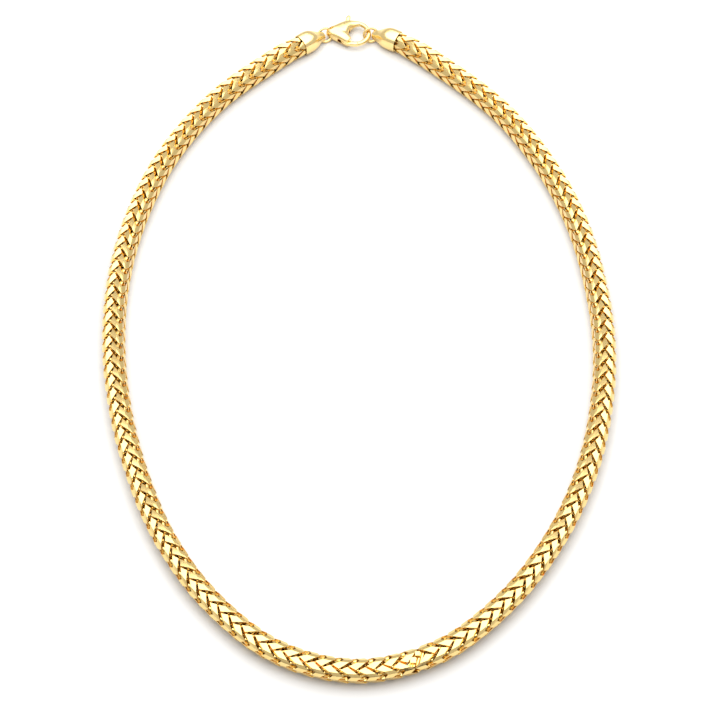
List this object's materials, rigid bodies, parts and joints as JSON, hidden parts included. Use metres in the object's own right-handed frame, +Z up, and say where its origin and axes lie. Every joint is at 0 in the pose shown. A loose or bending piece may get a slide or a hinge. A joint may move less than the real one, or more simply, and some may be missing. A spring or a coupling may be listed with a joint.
{
  "type": "franco chain necklace",
  "caption": "Closed square franco chain necklace of interlocking V links, with tapered end caps, round jump rings and a lobster clasp, lying flat in an oval.",
  "frame": {"origin": "middle of the footprint, on the surface that the necklace lies on", "axes": "+Z up from the surface, +Y from the lowest point of the loop to the clasp, +X to the right seen from above with the clasp at the top"},
  "size_m": [0.1298, 0.2111, 0.0061],
  "materials": {
    "gold": "polished, flat diamond-cut faces",
    "pale_gold": "polished smooth"
  },
  "bodies": {
    "necklace": {"chain_left": "gold", "chain_right": "gold", "joining_link": "gold", "end_cap_left": "pale_gold", "end_cap_right": "pale_gold", "jump_ring_left": "pale_gold", "jump_ring_right": "pale_gold", "clasp_body": "pale_gold", "clasp_rivet": "gold"},
    "lever": {"clasp_lever": "pale_gold"}
  },
  "joints": [
    {"name": "lever_hinge", "type": "hinge", "parent": "necklace", "child": "lever", "pos_m": [-0.00432, 0.09817, 0.00185], "axis": [0, 0, 1], "range_deg": [0, 22], "stiffness_Nm_per_rad": 0.002, "springref_deg": -17.19}
  ]
}
